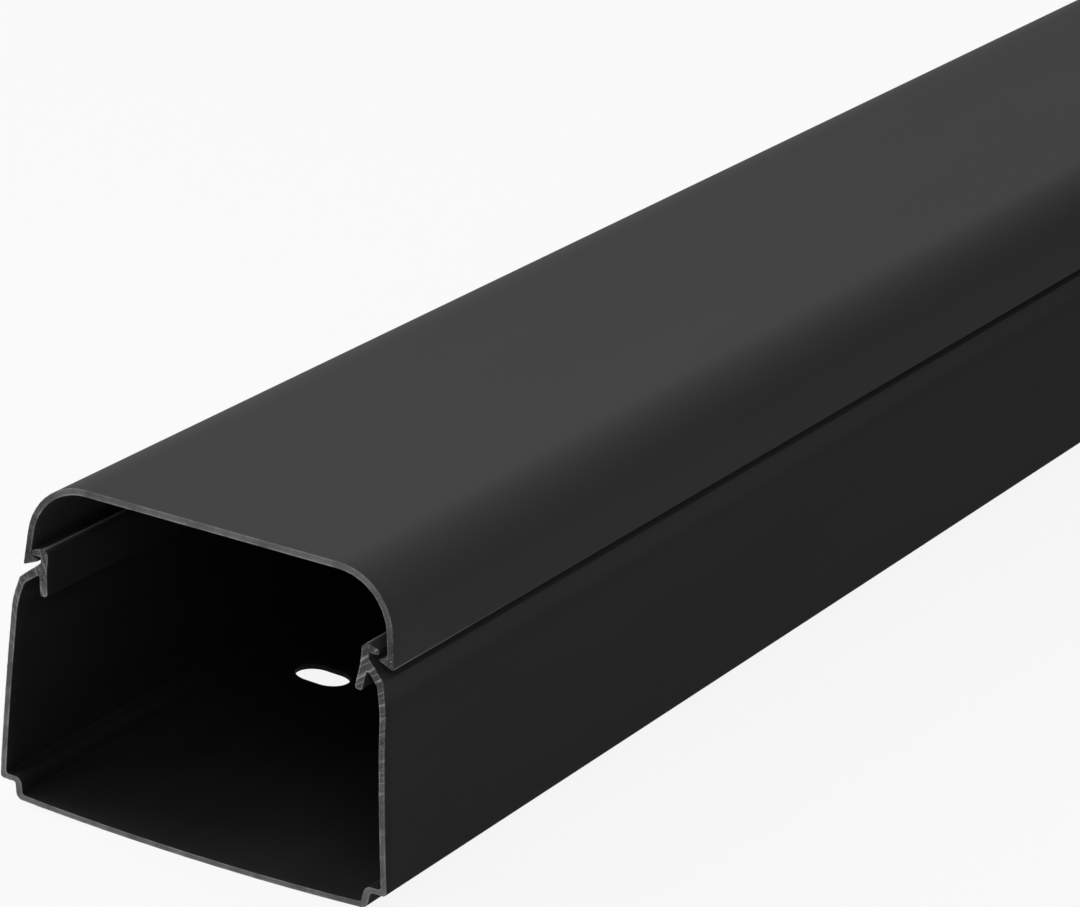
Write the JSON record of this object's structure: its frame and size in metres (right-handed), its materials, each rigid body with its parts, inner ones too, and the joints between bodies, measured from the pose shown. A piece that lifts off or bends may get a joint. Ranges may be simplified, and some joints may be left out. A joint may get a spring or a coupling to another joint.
{
  "type": "air conditioner line cover",
  "caption": "Straight length of snap-together plastic cover for refrigerant lines: a trough-shaped base with screw slots, and a lid that snaps over hooks along its walls.",
  "frame": {"origin": "middle of the wall side, at the lowest line of the floor sheet, half way along the length", "axes": "+Z from the wall side towards the lid, +Y along the length, +X to the side that the lid is pushed to"},
  "size_m": [0.08, 1, 0.0623],
  "materials": {
    "base_plastic": "satin black rigid PVC, extruded, with faint lengthwise die lines",
    "cover_plastic": "satin black rigid PVC, extruded, with faint lengthwise die lines"
  },
  "bodies": {
    "root": {"base": "base_plastic", "cover": "cover_plastic"}
  },
  "joints": []
}
